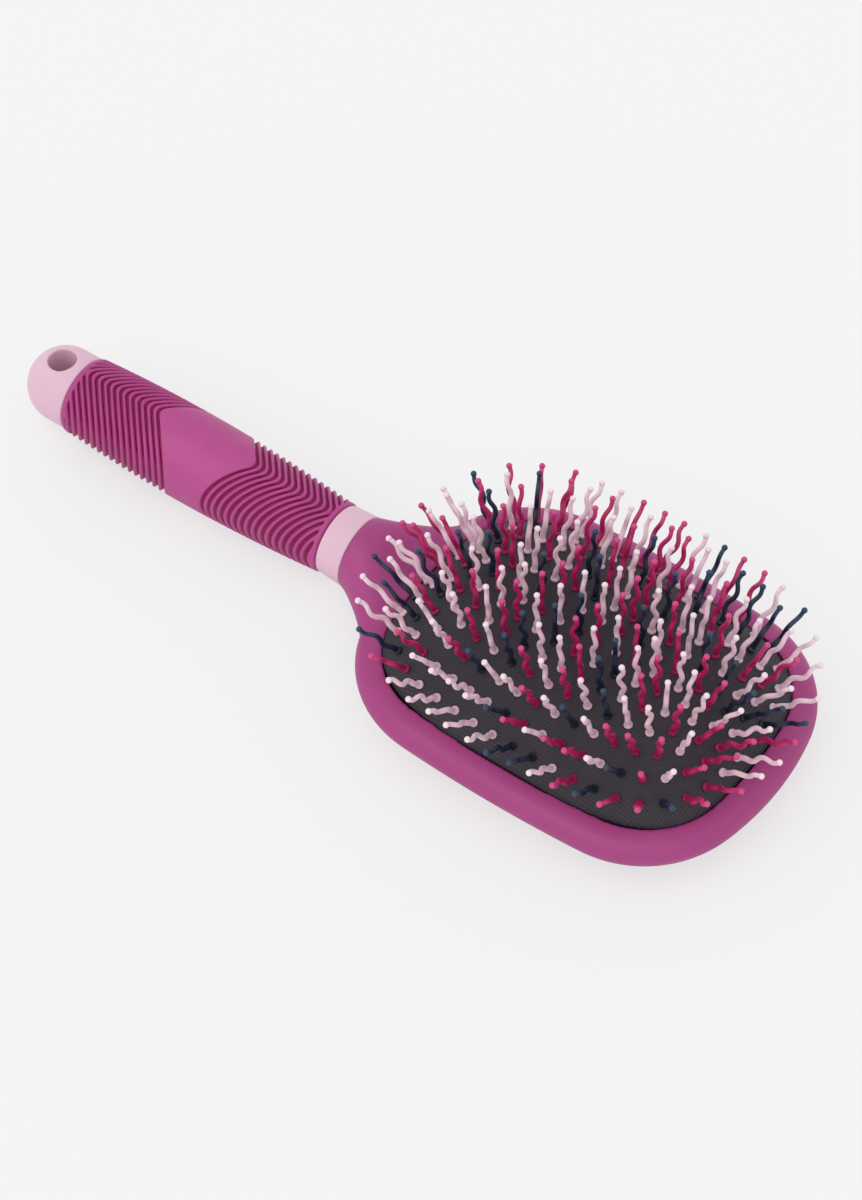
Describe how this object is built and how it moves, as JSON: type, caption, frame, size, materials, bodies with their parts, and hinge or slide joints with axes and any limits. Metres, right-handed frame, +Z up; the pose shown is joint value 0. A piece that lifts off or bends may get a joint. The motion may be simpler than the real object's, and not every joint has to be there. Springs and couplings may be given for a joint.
{
  "type": "detangling brush",
  "caption": "Paddle hairbrush with a domed rubber cushion, rings of wavy ball-tipped pins in mixed colours, and a round ribbed handle with a hanging hole in its end cap.",
  "frame": {"origin": "under the middle of the brush's length, on the surface that it lies on with its pins up", "axes": "+X from the handle to the head, +Z up through the pins, +Y across the head"},
  "size_m": [0.2442, 0.0914, 0.0472],
  "materials": {
    "plum_plastic": "satin, soft highlight on the rim",
    "charcoal_rubber": "matte, fine woven texture",
    "pale_pink_plastic": "satin",
    "plum_rubber": "soft matte, moulded chevron ribs",
    "pale_pin": "soft gloss, whiter tips",
    "magenta_pin": "soft gloss, lighter tips",
    "navy_pin": "soft gloss, blue tips"
  },
  "bodies": {
    "handle_and_head": {"paddle_head": "plum_plastic", "cushion_pad": "charcoal_rubber", "neck_collar": "pale_pink_plastic", "handle_core": "plum_plastic", "grip_sleeve": "plum_rubber", "end_cap": "pale_pink_plastic"},
    "outer_ring": {"outer_pins_pale": "pale_pin", "outer_pins_magenta": "magenta_pin", "outer_pins_navy": "navy_pin"},
    "second_ring": {"second_pins_pale": "pale_pin", "second_pins_magenta": "magenta_pin", "second_pins_navy": "navy_pin"},
    "third_ring": {"third_pins_pale": "pale_pin", "third_pins_magenta": "magenta_pin", "third_pins_navy": "navy_pin"},
    "fourth_ring": {"fourth_pins_pale": "pale_pin", "fourth_pins_magenta": "magenta_pin", "fourth_pins_navy": "navy_pin"},
    "fifth_ring": {"fifth_pins_pale": "pale_pin", "fifth_pins_magenta": "magenta_pin", "fifth_pins_navy": "navy_pin"},
    "centre_ring": {"centre_pins_pale": "pale_pin", "centre_pins_magenta": "magenta_pin", "centre_pins_navy": "navy_pin"}
  },
  "joints": [
    {"name": "centre_press", "type": "slide", "parent": "handle_and_head", "child": "centre_ring", "axis": [0, 0, -1], "range_m": [0, 0.003], "stiffness_N_per_m": 1500, "deforming": ["cushion_pad"]},
    {"name": "fifth_press", "type": "slide", "parent": "handle_and_head", "child": "fifth_ring", "axis": [0, 0, -1], "range_m": [0, 0.00299], "stiffness_N_per_m": 1500},
    {"name": "fourth_press", "type": "slide", "parent": "handle_and_head", "child": "fourth_ring", "axis": [0, 0, -1], "range_m": [0, 0.00293], "stiffness_N_per_m": 1500},
    {"name": "third_press", "type": "slide", "parent": "handle_and_head", "child": "third_ring", "axis": [0, 0, -1], "range_m": [0, 0.00266], "stiffness_N_per_m": 1500},
    {"name": "second_press", "type": "slide", "parent": "handle_and_head", "child": "second_ring", "axis": [0, 0, -1], "range_m": [0, 0.00191], "stiffness_N_per_m": 1500},
    {"name": "outer_press", "type": "slide", "parent": "handle_and_head", "child": "outer_ring", "axis": [0, 0, -1], "range_m": [0, 0.000714], "stiffness_N_per_m": 1500}
  ],
  "couplings": [
    {"joint": "fifth_press", "follows": "centre_press", "ratio": 0.998},
    {"joint": "fourth_press", "follows": "centre_press", "ratio": 0.978},
    {"joint": "third_press", "follows": "centre_press", "ratio": 0.887},
    {"joint": "second_press", "follows": "centre_press", "ratio": 0.637},
    {"joint": "outer_press", "follows": "centre_press", "ratio": 0.238}
  ]
}
